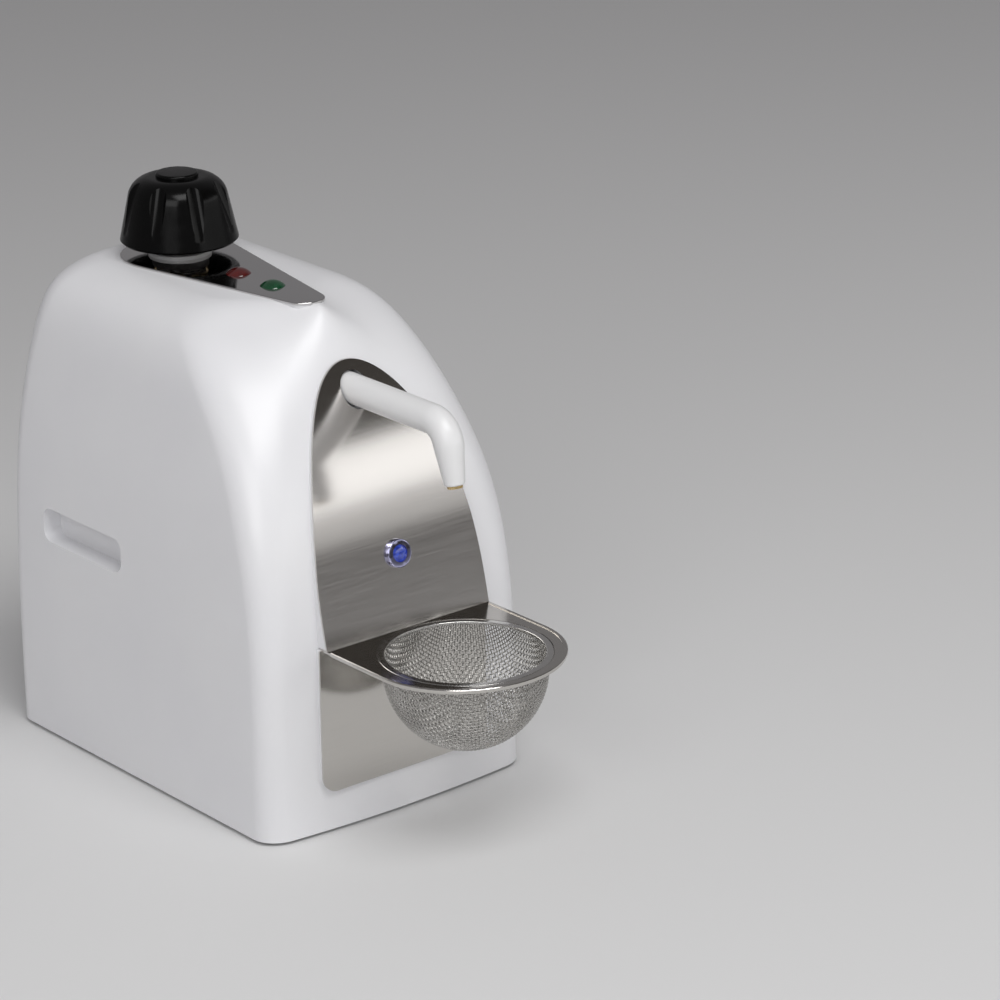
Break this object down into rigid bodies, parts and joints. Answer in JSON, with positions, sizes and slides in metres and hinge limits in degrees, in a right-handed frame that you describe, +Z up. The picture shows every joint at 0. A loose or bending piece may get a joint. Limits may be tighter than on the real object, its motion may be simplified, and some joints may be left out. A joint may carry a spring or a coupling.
{
  "type": "jewelry steam cleaner",
  "caption": "Countertop steam cleaner: white moulded cabinet, stainless front with a bent-down spout over a mesh basket in a shelf, black fluted pressure cap and indicator lamps on top.",
  "frame": {"origin": "on the surface it stands on, under the middle of the whole object's length and width", "axes": "+X to the right of someone facing the front, +Y from the front to the back, +Z up"},
  "size_m": [0.1662, 0.3296, 0.297],
  "materials": {
    "cabinet_abs": "satin",
    "polished_steel": "mirror polish",
    "panel_steel": "brushed",
    "mesh_steel": "woven wire",
    "tank_steel": "mill finish",
    "zinc_sheet": "zinc plated",
    "screw_steel": "plated",
    "spring_steel": "drawn wire",
    "cap_black": "gloss",
    "ring_grey": "satin",
    "seal_rubber": "matt",
    "foot_rubber": "matt",
    "spout_white": "satin",
    "green_lens": "clear gloss",
    "red_lens": "clear gloss",
    "blue_lens": "clear gloss",
    "bezel_chrome": "polished",
    "lamp_epoxy": "clear",
    "board_green": "solder mask",
    "part_black": "moulded",
    "brass": "machined",
    "heater_aluminium": "cast",
    "felt": "needled",
    "switch_black": "satin",
    "pin_steel": "plated"
  },
  "bodies": {
    "housing": {"cabinet": "cabinet_abs", "rear_cover": "zinc_sheet", "base_plate": "zinc_sheet", "rubber_feet": "foot_rubber", "base_screws": "screw_steel", "cover_screws": "screw_steel", "upper_panel": "panel_steel", "shelf_bracket": "polished_steel", "led_bezel": "bezel_chrome", "blue_lens": "blue_lens", "led_nut": "brass", "top_plate": "polished_steel", "green_lens": "green_lens", "red_lens": "red_lens", "indicator_leds": "lamp_epoxy", "indicator_board": "board_green", "filler_neck": "tank_steel", "neck_ring": "ring_grey", "neck_seal": "seal_rubber", "boiler_tank": "tank_steel", "boiler_heater": "heater_aluminium", "boiler_stand": "zinc_sheet", "boiler_insulation": "felt", "thermostat": "part_black", "thermal_cutout": "part_black", "chassis_plate": "zinc_sheet", "spout_sleeve": "spout_white", "steam_tube": "tank_steel", "nozzle": "brass", "spout_nut": "brass", "valve_block": "brass", "valve_coil": "part_black", "valve_spring": "spring_steel", "valve_bracket": "zinc_sheet", "boiler_pipe": "tank_steel", "board_standoffs": "brass", "control_board": "board_green", "board_parts": "part_black", "button_bezel": "switch_black", "microswitch": "part_black", "rocker_frame": "switch_black", "mains_inlet": "switch_black", "inlet_pins": "pin_steel", "inlet_screws": "screw_steel"},
    "cap": {"cap_insert": "brass", "cap_gasket": "seal_rubber", "cap_clip": "spring_steel", "relief_plug": "brass", "relief_spring": "spring_steel"},
    "knob": {"cap_knob": "cap_black", "cap_cover": "cap_black"},
    "relief_valve": {"relief_poppet": "tank_steel"},
    "basket": {"basket_rim": "polished_steel", "basket_bowl": "mesh_steel"},
    "button": {"steam_button": "switch_black"},
    "switch_plunger": {"microswitch_plunger": "lamp_epoxy"},
    "rocker": {"rocker_key": "switch_black"},
    "steam_valve": {"valve_plunger": "tank_steel"}
  },
  "joints": [
    {"name": "cap_lift", "type": "slide", "parent": "housing", "child": "cap", "axis": [0, 0, 1], "range_m": [0, 0.06]},
    {"name": "cap_turn", "type": "hinge", "parent": "cap", "child": "knob", "pos_m": [0, 0.1128, 0.27], "axis": [0, 0, 1], "continuous": true},
    {"name": "relief_lift", "type": "slide", "parent": "cap", "child": "relief_valve", "axis": [0, 0, 1], "range_m": [0, 0.0015], "stiffness_N_per_m": 3000, "springref_m": -0.002, "deforming": ["relief_spring"]},
    {"name": "basket_lift", "type": "slide", "parent": "housing", "child": "basket", "axis": [0, 0, 1], "range_m": [0, 0.08]},
    {"name": "button_press", "type": "slide", "parent": "housing", "child": "button", "axis": [-1, 0, 0], "range_m": [0, 0.0025], "stiffness_N_per_m": 400, "springref_m": -0.002},
    {"name": "switch_press", "type": "slide", "parent": "housing", "child": "switch_plunger", "axis": [-1, 0, 0], "range_m": [0, 0.0015], "stiffness_N_per_m": 200, "springref_m": -0.002},
    {"name": "rocker_tilt", "type": "hinge", "parent": "housing", "child": "rocker", "pos_m": [0.039, 0.1593, 0.0265], "axis": [-1, 0, 0], "range_deg": [0, 20]},
    {"name": "valve_open", "type": "slide", "parent": "housing", "child": "steam_valve", "axis": [0, 0, -1], "range_m": [0, 0.0015], "stiffness_N_per_m": 400, "springref_m": -0.003, "deforming": ["valve_spring"]}
  ],
  "couplings": [
    {"joint": "switch_press", "follows": "button_press", "ratio": 0.6}
  ]
}
